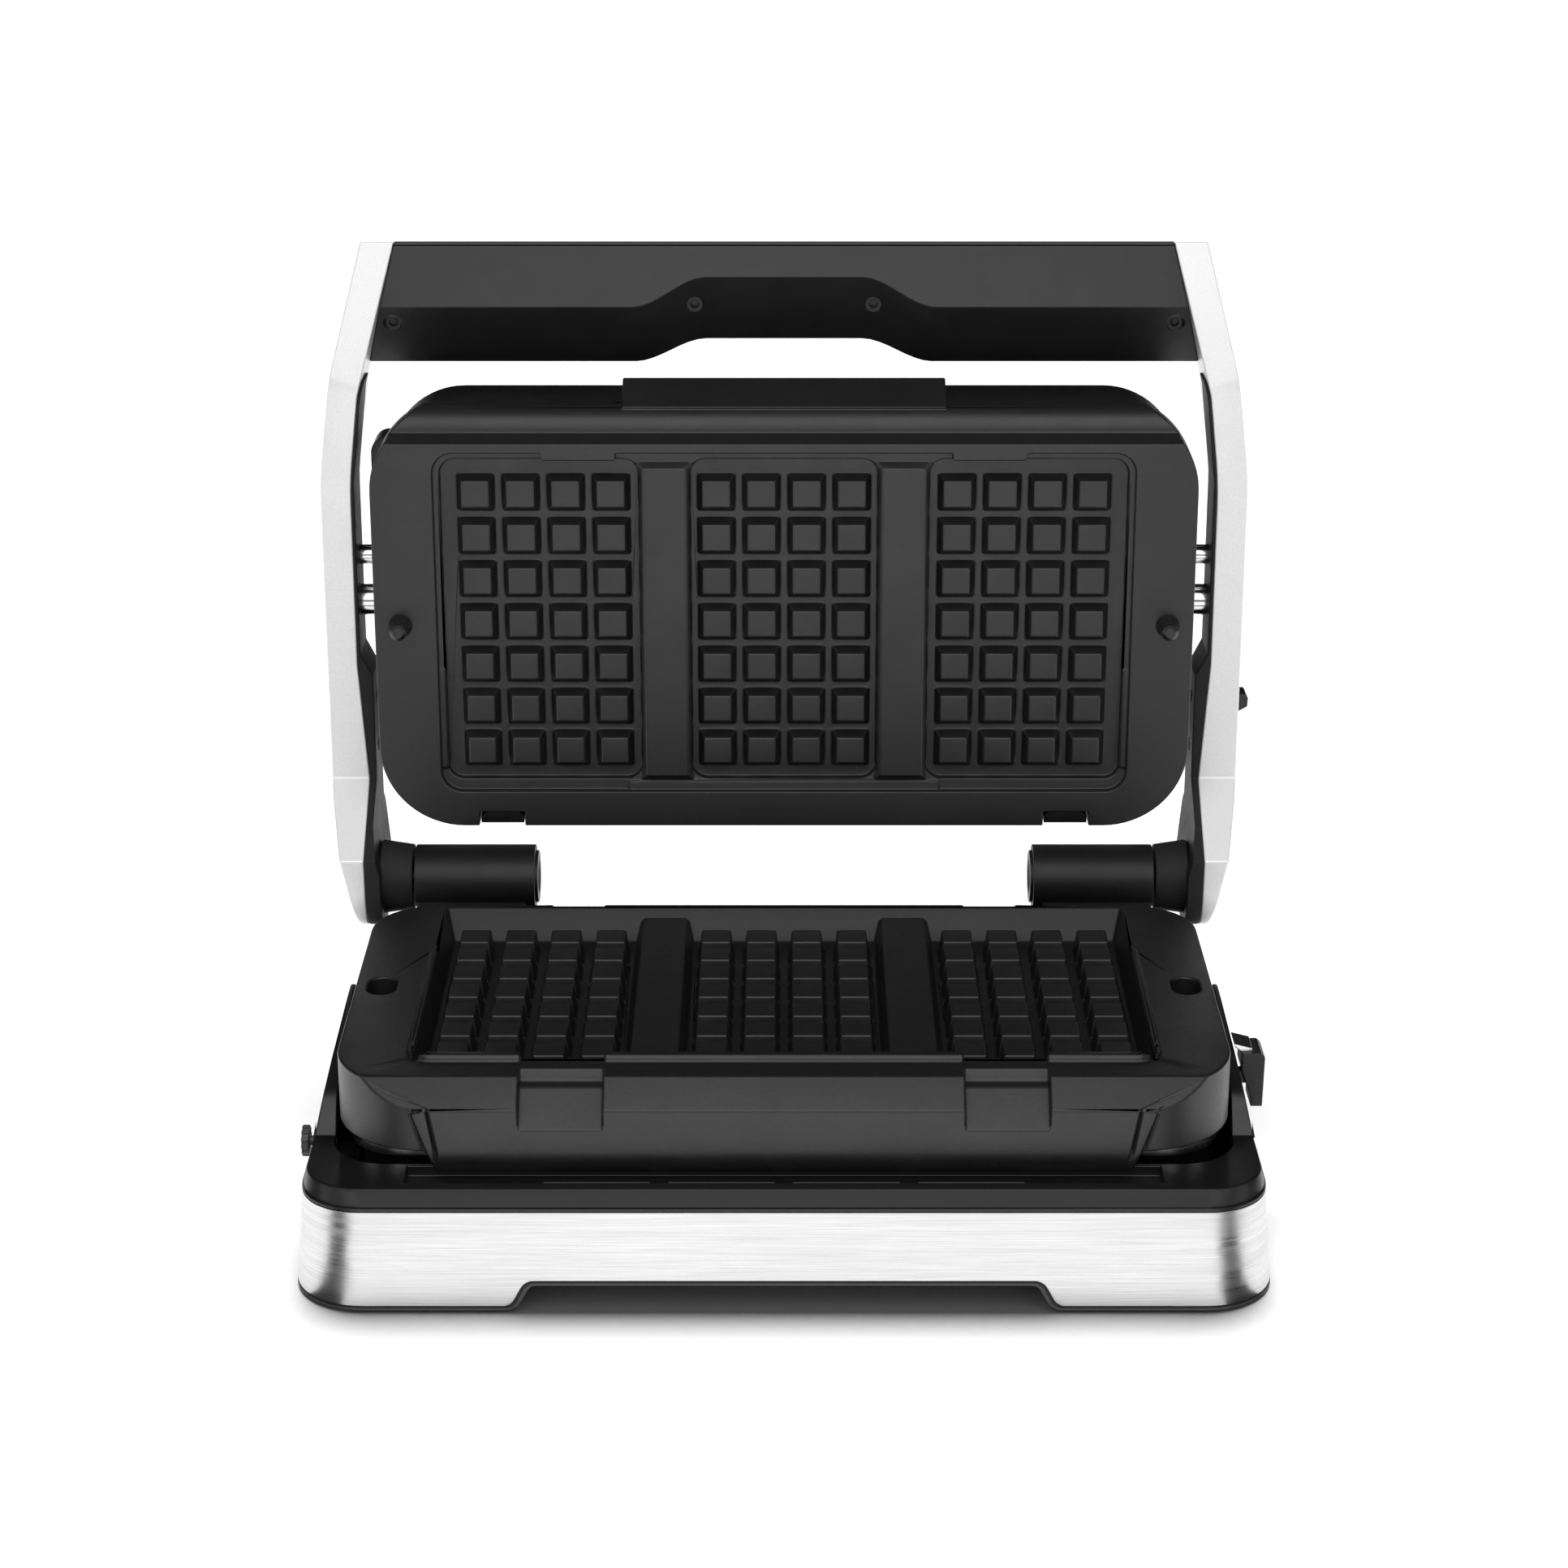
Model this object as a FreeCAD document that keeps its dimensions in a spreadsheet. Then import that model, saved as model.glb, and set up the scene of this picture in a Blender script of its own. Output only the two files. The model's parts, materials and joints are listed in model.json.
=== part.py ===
import FreeCAD, Part
import math
import os
from types import SimpleNamespace

import Sketcher
from FreeCAD import Placement, Rotation, Vector

# A hinged waffle maker that stands open, with its lid upright. Millimetres; +Z up, the front at -Y,
# +X to the right, and the surface it stands on at z = 0.

DRIVING = {
    "cell": 17.0,  # pitch of the waffle cells, in both directions
    "pad_pitch": 90.6,  # from one waffle to the next
    "grid_back": -29.3,  # middle of the waffles, when the lid is shut
    "hinge_back": 74.0,
    "hinge_up": 77.6,
    "foot_radius": 8.0,
    "pan_foot": 0.8,  # underside of the base
    "seal_foot": 1.9,
    "band_foot": 2.5,
    "band_top": 36.7,
    "band_wall": 1.2,
    "flare": 3.0,  # how far the base widens towards its foot
    "base_half": 166.2,
    "base_front": 132.2,
    "base_rear": 90.0,
    "base_round": 22.0,
    "wall": 2.5,
    "notch_half": 88.4,
    "notch_slope": 5.1,
    "notch_top": 11.7,
    "deck": 43.0,  # flat top of the base cover
    "deck_front": 126.1,
    "well_half": 157.3,
    "well_front": 107.3,
    "well_rear": 50.0,
    "gutter_half": 130.0,
    "gutter_front": 121.8,
    "cheek_inner": 157.3,
    "cheek_top": 71.0,
    "plate_half": 155.6,
    "plate_front": 115.55,
    "plate_rear": 48.5,
    "rim": 76.0,
    "skirt_foot": 51.5,
    "apron_foot": 42.8,
    "cavity_floor": 65.5,
    "bump_top": 74.45,
    "cavity_half": 128.9,
    "cavity_front": 93.7,
    "cavity_rear": 46.0,
    "lip": 2.0,
    "lip_top": 79.0,
    "lip_rear": 2.3,
    "spout_near": 62.0,
    "spout_far": 91.1,
    "guide_out": 145.8,
    "guide_back": -29.2,
    "barrel_radius": 12.5,
    "barrel_near": 96.6,
    "barrel_far": 143.1,
    "shaft_radius": 5.0,
    "shaft_play": 0.05,
    "arm_end": 18.7,  # radius of the arm's round end about the hinge
    "arm_face": 87.6,
    "arm_back": 113.0,
    "handle_top": 322.0,
    "handle_face": 101.2,
    "handle_back": 133.5,
    "grip_lift": 11.5,
    "grip_lift_below": 9.0,
    "grip_half": 29.5,
    "grip_ramp": 57.0,
    "pin_back": 102.0,
    "pivot_pin_up": 181.9,
    "pivot_pin_radius": 6.0,
    "limit_pin_up": 200.1,
    "limit_pin_radius": 3.8,
    "lid_face": 73.4,  # front face of the upper plate
    "lid_plate_low": 98.8,
    "lid_plate_high": 264.5,
    "lid_plate_back": 93.8,
    "lid_round": 32.0,
    "ring_floor": 76.4,
    "pad_floor": 79.3,
    "pad_tips": 74.5,
    "pad_low": 117.4,
    "pad_high": 244.7,
    "housing_half": 153.0,
    "housing_low": 102.2,
    "housing_high": 260.9,
    "housing_face": 94.3,
    "housing_back": 134.0,
    "element_radius": 3.5,
    "knob_back": -83.8,
    "knob_up": 40.4,
}


class Size:
    """A length that carries both its value and the sheet expression that drives it."""

    def __init__(self, value, text):
        self.value = value
        self.text = text

    def __add__(self, other):
        other = size(other)
        return Size(self.value + other.value, f"({self.text} + {other.text})")

    def __sub__(self, other):
        other = size(other)
        return Size(self.value - other.value, f"({self.text} - {other.text})")

    def __mul__(self, factor):
        factor = size(factor)
        return Size(self.value * factor.value, f"({self.text} * {factor.text})")

    def __truediv__(self, divisor):
        divisor = size(divisor)
        return Size(self.value / divisor.value, f"({self.text} / {divisor.text})")

    def __neg__(self):
        return size(0) - self

    def __radd__(self, other):
        return size(other) + self

    def __rsub__(self, other):
        return size(other) - self

    def __rmul__(self, factor):
        return self * factor


def size(number):
    return number if isinstance(number, Size) else Size(float(number), repr(float(number)))


def sheet_of(driving):
    sheet = doc.addObject("Spreadsheet::Sheet", "Dims")
    for row, (name, value) in enumerate(driving.items(), start=1):
        sheet.set(f"A{row}", name)
        sheet.set(f"B{row}", str(value))
        sheet.setAlias(f"B{row}", name)
    doc.recompute()
    return SimpleNamespace(**{name: Size(getattr(sheet, name), f"Dims.{name}") for name in driving})


doc = FreeCAD.newDocument("waffle_maker")
d = sheet_of(DRIVING)
nodes = []

# Planes that outlines are drawn on: x and y of the outline run along the two axes of the name.
TURN = {
    "XY": Rotation(),
    "XZ": Rotation(Vector(1, 0, 0), 90),
    "YZ": Rotation(Vector(1, 1, 1), 120),
}
NORMAL_AXIS = {"XY": "z", "XZ": "y", "YZ": "x"}
# A cylinder's own axis is Z; these turn it onto the axis of the name.
ALONG = {"x": Rotation(Vector(0, 1, 0), 90), "y": Rotation(Vector(1, 0, 0), -90), "z": Rotation()}
AXES = "xyz"


def bind(thing, **sizes):
    for name, value in sizes.items():
        thing.setExpression(name.replace("__", "."), size(value).text)


def place(thing, x, y, z):
    bind(thing, Placement__Base__x=x, Placement__Base__y=y, Placement__Base__z=z)


def block(name, x, y, z):
    """A box between two values on each axis."""
    thing = doc.addObject("Part::Box", name)
    bind(thing, Length=size(x[1]) - x[0], Width=size(y[1]) - y[0], Height=size(z[1]) - z[0])
    place(thing, x[0], y[0], z[0])
    return thing


def rod(name, axis, centre, span, radius):
    """A cylinder along an axis; centre gives its place on the other two axes."""
    thing = doc.addObject("Part::Cylinder", name)
    thing.Placement = Placement(Vector(), ALONG[axis])
    bind(thing, Radius=radius, Height=size(span[1]) - span[0])
    put(thing, axis, centre, span[0])
    return thing


def cone(name, axis, centre, span, radii):
    thing = doc.addObject("Part::Cone", name)
    thing.Placement = Placement(Vector(), ALONG[axis])
    bind(thing, Radius1=radii[0], Radius2=radii[1], Height=size(span[1]) - span[0])
    put(thing, axis, centre, span[0])
    return thing


def put(thing, axis, centre, start):
    spot = list(centre)
    spot.insert(AXES.index(axis), start)
    place(thing, *spot)


def sketch_at(name, plane, level):
    sketch = doc.addObject("Sketcher::SketchObject", name)
    sketch.Placement = Placement(Vector(), TURN[plane])
    bind(sketch, **{"Placement__Base__" + NORMAL_AXIS[plane]: level})
    return sketch


def fix(sketch, kind, line, value):
    index = sketch.addConstraint(Sketcher.Constraint(kind, -1, 1, line, 1, size(value).value))
    sketch.setExpression(f"Constraints[{index}]", size(value).text)


def draw_polygon(sketch, corners):
    spots = [Vector(size(x).value, size(y).value, 0) for x, y in corners]
    count = len(spots)
    for i in range(count):
        sketch.addGeometry(Part.LineSegment(spots[i], spots[(i + 1) % count]))
    for i in range(count):
        sketch.addConstraint(Sketcher.Constraint("Coincident", i, 2, (i + 1) % count, 1))
    for i, (x, y) in enumerate(corners):
        fix(sketch, "DistanceX", i, x)
        fix(sketch, "DistanceY", i, y)


def draw_rounded(sketch, x, y, radius):
    """A rectangle with four equal round corners."""
    left, right = size(x[0]).value, size(x[1]).value
    low, high = size(y[0]).value, size(y[1]).value
    turn = size(radius).value
    quarter = 1.5707963267948966
    ends = [
        ((left + turn, low), (right - turn, low)),
        ((right, low + turn), (right, high - turn)),
        ((right - turn, high), (left + turn, high)),
        ((left, high - turn), (left, low + turn)),
    ]
    middles = [
        (right - turn, low + turn),
        (right - turn, high - turn),
        (left + turn, high - turn),
        (left + turn, low + turn),
    ]
    for i in range(4):
        start, stop = ends[i]
        sketch.addGeometry(Part.LineSegment(Vector(*start, 0), Vector(*stop, 0)))
        circle = Part.Circle(Vector(*middles[i], 0), Vector(0, 0, 1), turn)
        sketch.addGeometry(Part.ArcOfCircle(circle, (i - 1) * quarter, i * quarter))
    for i in range(4):
        line, arc, after = 2 * i, 2 * i + 1, (2 * i + 2) % 8
        sketch.addConstraint(Sketcher.Constraint("Tangent", line, 2, arc, 1))
        sketch.addConstraint(Sketcher.Constraint("Tangent", arc, 2, after, 1))
        sketch.addConstraint(Sketcher.Constraint("Vertical" if i % 2 else "Horizontal", line))
    for arc in (3, 5, 7):
        sketch.addConstraint(Sketcher.Constraint("Equal", 1, arc))
    index = sketch.addConstraint(Sketcher.Constraint("Radius", 1, turn))
    sketch.setExpression(f"Constraints[{index}]", size(radius).text)
    fix(sketch, "DistanceY", 0, y[0])
    fix(sketch, "DistanceX", 2, x[1])
    fix(sketch, "DistanceY", 4, y[1])
    fix(sketch, "DistanceX", 6, x[0])


def extruded(name, sketch, plane, span):
    thing = doc.addObject("Part::Extrusion", name)
    thing.Base = sketch
    thing.DirMode = "Normal"
    thing.Solid = True
    bind(thing, LengthFwd=size(span[1]) - span[0])
    return thing


def start_of(plane, span):
    # The XZ plane's normal is -Y, so an outline there is drawn at the far end of its span.
    return span[1] if plane == "XZ" else span[0]


def prism(name, plane, corners, span):
    sketch = sketch_at(name + "_outline", plane, start_of(plane, span))
    draw_polygon(sketch, corners)
    return extruded(name, sketch, plane, span)


def slab(name, plane, first, second, radius, span):
    """A round-cornered plate."""
    sketch = sketch_at(name + "_outline", plane, start_of(plane, span))
    draw_rounded(sketch, first, second, radius)
    return extruded(name, sketch, plane, span)


def loft(name, sketches):
    thing = doc.addObject("Part::Loft", name)
    thing.Sections = sketches
    thing.Solid = True
    thing.Ruled = True
    return thing


def fuse(name, *things):
    thing = doc.addObject("Part::MultiFuse", name)
    thing.Shapes = list(things)
    thing.Refine = True
    return thing


def cut(name, base, *tools):
    thing = doc.addObject("Part::Cut", name)
    thing.Base = base
    thing.Tool = tools[0] if len(tools) == 1 else fuse(name + "_tools", *tools)
    thing.Refine = True
    return thing


def common(name, first, second):
    thing = doc.addObject("Part::Common", name)
    thing.Base = first
    thing.Tool = second
    thing.Refine = True
    return thing


def mirrored(name, source):
    """The same piece on the other side."""
    thing = doc.addObject("Part::Mirroring", name)
    thing.Source = source
    thing.Normal = Vector(1, 0, 0)
    return thing


def both_sides(name, source):
    return fuse(name, source, mirrored(name + "_left", source))


def softened(name, base, axis, spots, kind="Part::Fillet"):
    """Rounds the edges that run along an axis; spots gives (first, second, radius) on the others."""
    doc.recompute()
    picked = []
    for number, edge in enumerate(base.Shape.Edges, start=1):
        if len(edge.Vertexes) != 2:
            continue
        run = edge.Vertexes[1].Point - edge.Vertexes[0].Point
        if abs(run[AXES.index(axis)]) < 0.99 * run.Length:
            continue
        middle = [edge.CenterOfMass[i] for i in range(3) if AXES[i] != axis]
        for first, second, radius in spots:
            apart = abs(middle[0] - size(first).value) + abs(middle[1] - size(second).value)
            if apart < 0.2:
                picked.append((number, size(radius).value, size(radius).value))
    if len(picked) < len(spots):
        raise ValueError(f"{name}: {len(picked)} of {len(spots)} edges found")
    thing = doc.addObject(kind, name)
    thing.Base = base
    thing.Edges = picked
    return thing


def node(name, thing):
    """Names a finished sub-part; the name is its file's too."""
    thing.Label = name
    nodes.append(thing)
    return thing


def copies(name, seed, spots):
    """One group of equal solids, at the given offsets from the seed."""
    doc.recompute()
    group = []
    for spot in spots:
        solid = seed.Shape.copy()
        solid.translate(Vector(*spot))
        group.append(solid)
    thing = doc.addObject("Part::Feature", name)
    thing.Shape = Part.makeCompound(group)
    return thing


def value(amount):
    return size(amount).value


# ---------------------------------------------------------------- base


def flare_at(level):
    return d.flare * (d.band_top - level) / (d.band_top - d.band_foot)


def base_shape(name, inset, low, high):
    """The tapered outline of the base between two levels, moved in by inset."""
    sketches = []
    for end, level in (("low", low), ("high", high)):
        grow = flare_at(size(level)) - inset
        half = d.base_half + grow
        sketch = sketch_at(f"{name}_{end}", "XY", level)
        draw_rounded(sketch, (-half, half), (-d.base_front - grow, d.base_rear + grow), d.base_round + grow)
        sketches.append(sketch)
    return loft(name, sketches)


def notch(name, offset, back, level):
    """The hand recess under the front edge, drawn in by offset; the edge beside it is at level."""
    top = d.notch_top - offset
    shoulder = d.notch_half - offset
    foot = shoulder + d.notch_slope
    wide = foot + 6
    outline = [
        (-wide, -5), (-wide, level), (-foot, level), (-shoulder, top),
        (shoulder, top), (foot, level), (wide, level), (wide, -5),
    ]
    raw = prism(name + "_raw", "XZ", outline, (-145, back))
    bends = [
        (-shoulder, top, 5.0 - offset), (shoulder, top, 5.0 - offset),
        (-foot, level, 4.0 + offset), (foot, level, 4.0 + offset),
    ]
    return softened(name, raw, "y", bends)


def low_slab(name, top):
    return block(name, (-180, 180), (-150, 110), (-6, top))


def make_band_and_seal():
    whole = base_shape("base_whole", 0, d.pan_foot, d.band_top)
    core = base_shape("base_core", d.band_wall, d.pan_foot, d.band_top)
    skin = cut("base_skin", whole, core)
    outer_notch = notch("notch_band", 0, -118, d.band_foot)
    inner_notch = notch("notch_seal", 0.6, -118, d.seal_foot)
    cord_hole = rod("band_cord_hole", "y", (110, 20), (80, 100), 9.0)
    node("base_band", cut("band", skin, low_slab("under_band", d.band_foot), outer_notch, cord_hole))
    zone = fuse("seal_zone", low_slab("under_seal_top", d.band_foot), outer_notch)
    ring = common("seal_ring", skin, zone)
    node("band_seal", cut("seal", ring, low_slab("under_seal", d.seal_foot), inner_notch))
    return whole, core, inner_notch


def make_pan(whole, core, inner_notch):
    lip_zone = fuse("lip_zone", low_slab("under_lip_top", d.seal_foot), inner_notch)
    lip = common("pan_lip", whole, lip_zone)
    hollow = base_shape("pan_hollow", d.band_wall + d.wall, d.pan_foot + 3.2, d.band_top + 4)
    recess_roof = block("recess_roof", (-98, 98), (-140, -112), (0, 13))
    inside = cut("pan_inside", hollow, recess_roof)
    posts = [
        rod(f"pan_post_{i}", "z", (x, y), (3, 44), 5.0)
        for i, (x, y) in enumerate(((-120, -80), (120, -80), (120, 20), (-120, 20)))
    ]
    shell = fuse("pan_shell", cut("pan_walls", core, inside), lip, *posts)
    hand_recess = notch("notch_pan", 1.8, -116, d.pan_foot)
    foot_seats = [rod(f"foot_seat_{i}", "z", spot, (0, 3), d.foot_radius) for i, spot in enumerate(FEET)]
    vents = [block(f"pan_vent_{i}", (i * 14 - 58, i * 14 - 53), (-20, 20), (0, 6)) for i in range(9)]
    cord_hole = rod("pan_cord_hole", "y", (110, 20), (80, 100), 9.0)
    screw_seats = [rod(f"screw_seat_{i}", "z", spot, (0, 3), 4.0) for i, spot in enumerate(PAN_SCREWS)]
    node("base_pan", cut("pan", shell, hand_recess, cord_hole, *foot_seats, *vents, *screw_seats))


FEET = ((-140, -104), (140, -104), (140, 66), (-140, 66))
PAN_SCREWS = ((-120, -80), (120, -80), (120, 20), (-120, 20))


def make_feet_and_screws():
    foot = rod("foot_seed", "z", (0, 0), (0, 3), d.foot_radius)
    node("base_feet", copies("feet", foot, [(x, y, 0) for x, y in FEET]))
    head = rod("pan_screw_head", "z", (0, 0), (1.2, 3), 3.4)
    slot = block("pan_screw_slot", (-2.6, 2.6), (-0.5, 0.5), (1.0, 1.9))
    cross = block("pan_screw_cross", (-0.5, 0.5), (-2.6, 2.6), (1.0, 1.9))
    screw = cut("pan_screw", head, slot, cross)
    node("base_screws", copies("screws", screw, [(x, y, 0) for x, y in PAN_SCREWS]))


def make_cheek():
    """The raised side wall that hugs the lower plate."""
    foot = d.deck - 4
    side = [
        (-87.0, foot),
        (-85.5, d.deck),
        (-77.5, d.deck + 12),
        (-62, d.deck + 20),
        (-28, d.cheek_top),
        (-13, d.cheek_top),
        (4, d.deck),
        (4, foot),
    ]
    raw = prism("cheek_raw", "YZ", side, (d.cheek_inner, 166))
    bends = [(-77.5, d.deck + 12, 14), (-62, d.deck + 20, 40), (-28, d.cheek_top, 60), (-13, d.cheek_top, 9)]
    curved = softened("cheek_curved", raw, "x", bends)
    over = d.cheek_top + 1
    lean = [(164.9, foot - 1), (164.9, d.deck), (158.7, over), (175, over), (175, foot - 1)]
    return cut("cheek", curved, prism("cheek_lean", "XZ", lean, (-100, 50)))


def make_cover():
    rear = d.base_rear - 2
    low = sketch_at("cover_low", "XY", d.band_top + 1.4)
    side = d.base_half - 0.5
    draw_rounded(low, (-side, side), (0.6 - d.base_front, d.base_rear - 0.6), d.base_round)
    high = sketch_at("cover_high", "XY", d.deck)
    draw_rounded(high, (1.4 - d.base_half, d.base_half - 1.4), (-d.deck_front, rear), d.base_round - 3)
    edge = slab(
        "cover_edge", "XY", (-d.base_half, d.base_half), (-d.base_front, d.base_rear), d.base_round,
        (d.band_top + 0.2, d.band_top + 1.4),
    )
    top = fuse("cover_top", loft("cover_slope", [low, high]), edge)
    under = slab("cover_under", "XY", (-161.5, 161.5), (-122, 84), 18, (d.band_top, d.deck - 2.8))
    gutter_bed = block("gutter_bed", (-133, 133), (-124.5, -106.5), (d.band_top + 0.2, d.deck - 1))
    knob_bed = block("knob_bed", (-164, -150), (-92, -76), (d.band_top + 0.2, d.deck - 1))
    hollowed = fuse("cover_hollowed", cut("cover_shell", top, under), gutter_bed, knob_bed)
    well = slab(
        "cover_well", "XY", (-d.well_half, d.well_half), (-d.well_front, d.well_rear), 20,
        (d.band_top - 1, d.deck + 1),
    )
    gutter_x = (-d.gutter_half, d.gutter_half)
    gutter = block("cover_gutter", gutter_x, (-d.gutter_front, -109), (39, d.deck + 1))
    slits = [
        block(f"gutter_slit_{i}", (i * 43 - 40, i * 43 - 3), (-116.2, -113.6), (d.band_top, d.deck))
        for i in range(-1, 3)
    ]
    opened = cut("cover_opened", hollowed, well, gutter, *slits)
    cheeked = fuse("cover_cheeked", opened, both_sides("cheeks", make_cheek()))
    knob_bore = rod("knob_bore", "x", (d.knob_back, d.knob_up), (-170, -151), 1.85)
    latch_bore = rod("latch_bore", "x", (-56, 53), (150, 168), 3.3)
    node("base_cover", cut("cover", cheeked, knob_bore, latch_bore))


def make_base_insides():
    tray = slab("tray_out", "XY", (-152, 152), (-103, 45), 20, (44, 50))
    hollow = slab("tray_in", "XY", (-151, 151), (-102, 44), 19, (44.8, 52))
    node("lower_reflector", cut("lower_tray", tray, hollow))
    node("lower_element", heater("lower_loop", "XY", (-104, 104), (-78, 20), 57.4))
    node("thermostat", fuse("thermostat_all", rod("stat_can", "z", (0, -30), (30, 40), 9.0),
                            rod("stat_flange", "z", (0, -30), (40, 44), 12.0)))
    terminals = block("terminal_body", (88, 118), (50, 68), (4, 20))
    grooves = [block(f"terminal_groove_{i}", (91 + 9 * i, 97 + 9 * i), (49, 60), (14, 21)) for i in range(3)]
    node("terminal_block", cut("terminals", terminals, *grooves))
    node("browning_switch", block("switch_body", (-161, -149), (-92, -76), (22, 36.5)))
    bush = rod("bush_flange", "y", (110, 20), (92.2, 96), 11.0)
    neck = rod("bush_neck", "y", (110, 20), (84, 92.2), 9.0)
    bore = rod("bush_bore", "y", (110, 20), (80, 100), 4.2)
    node("cord_bush", cut("bush", fuse("bush_all", bush, neck), bore))


def heater(name, plane, first, second, level):
    """A closed loop of sheathed heating tube with round corners."""
    turn = 24.0
    radius = d.element_radius
    path = sketch_at(name + "_path", plane, level)
    draw_rounded(path, first, second, turn)
    section = doc.addObject("Sketcher::SketchObject", name + "_section")
    section.addGeometry(Part.Circle(Vector(), Vector(0, 0, 1), radius.value))
    section.addConstraint(Sketcher.Constraint("Coincident", 0, 3, -1, 1))
    index = section.addConstraint(Sketcher.Constraint("Radius", 0, radius.value))
    section.setExpression(f"Constraints[{index}]", radius.text)
    # The section stands square across the start of the loop's first straight run.
    section.Placement = Placement(Vector(), ALONG["x"])
    start = (first[0] + turn, second[0], level) if plane == "XY" else (first[0] + turn, level, second[0])
    place(section, *start)
    doc.recompute()
    sweep = doc.addObject("Part::Sweep", name)
    sweep.Sections = [section]
    sweep.Spine = (path, [])
    sweep.Solid = True
    return sweep


def make_barrel():
    """One fixed hinge knuckle on its pedestal, at the right."""
    centre = (d.hinge_back, d.hinge_up)
    barrel = rod("barrel_tube", "x", centre, (d.barrel_near, d.barrel_far), d.barrel_radius)
    side = [(59, d.deck), (64, 74), (84, 74), (86.5, d.deck)]
    leg = prism("barrel_leg", "YZ", side, (d.barrel_near + 4, d.barrel_far - 1))
    bore_radius = d.shaft_radius + d.shaft_play
    bore = rod("barrel_bore", "x", centre, (d.barrel_near - 1, d.barrel_far + 1), bore_radius)
    seat = rod("cap_seat", "x", centre, (d.barrel_near - 1, d.barrel_near + 2), 10.2)
    right = cut("barrel", fuse("barrel_all", barrel, leg), bore, seat)
    node("hinge_barrel_right", right)
    node("hinge_barrel_left", mirrored("barrel_left", right))
    ring = rod("cap_ring", "x", centre, (d.barrel_near - 1.2, d.barrel_near + 2), 10.2)
    eye = rod("cap_eye", "x", centre, (d.barrel_near - 2, d.barrel_near + 3), 3.2)
    dish = cone("cap_dish", "x", centre, (d.barrel_near - 1.2, d.barrel_near + 0.2), (7.0, 5.0))
    cap = cut("cap", ring, eye, dish)
    node("barrel_cap_right", cap)
    node("barrel_cap_left", mirrored("cap_left", cap))


# ---------------------------------------------------------------- lower plate


def frustum(name, first, second, first_top, second_top, low, high):
    """A block that tapers upwards: its foot is first by second, its top first_top by second_top."""
    thing = doc.addObject("Part::Wedge", name)
    thing.Placement = Placement(Vector(), Rotation(Vector(1, 0, 0), 90))
    bind(thing, Xmin=first[0], Xmax=first[1], Zmin=-size(second[1]), Zmax=-size(second[0]))
    bind(thing, X2min=first_top[0], X2max=first_top[1])
    bind(thing, Z2min=-size(second_top[1]), Z2max=-size(second_top[0]))
    bind(thing, Ymin=low, Ymax=high)
    return thing


def frustum_up(name, first, second, first_top, second_top, back, face):
    """A block on a standing plate that tapers towards the front: its foot is at back, its top at face."""
    thing = doc.addObject("Part::Wedge", name)
    bind(thing, Xmin=first_top[0], Xmax=first_top[1], Zmin=second_top[0], Zmax=second_top[1])
    bind(thing, X2min=first[0], X2max=first[1], Z2min=second[0], Z2max=second[1])
    bind(thing, Ymin=face, Ymax=back)
    return thing


def grid_spots(rows_up):
    """Middles of the cells: three waffles of four columns and seven rows."""
    spots = []
    for waffle in (-1, 0, 1):
        for column in range(4):
            for row in range(-3, 4):
                across = waffle * value(d.pad_pitch) + (column - 1.5) * value(d.cell)
                along = row * value(d.cell)
                spots.append((across, 0, along) if rows_up else (across, along, 0))
    return spots


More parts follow.
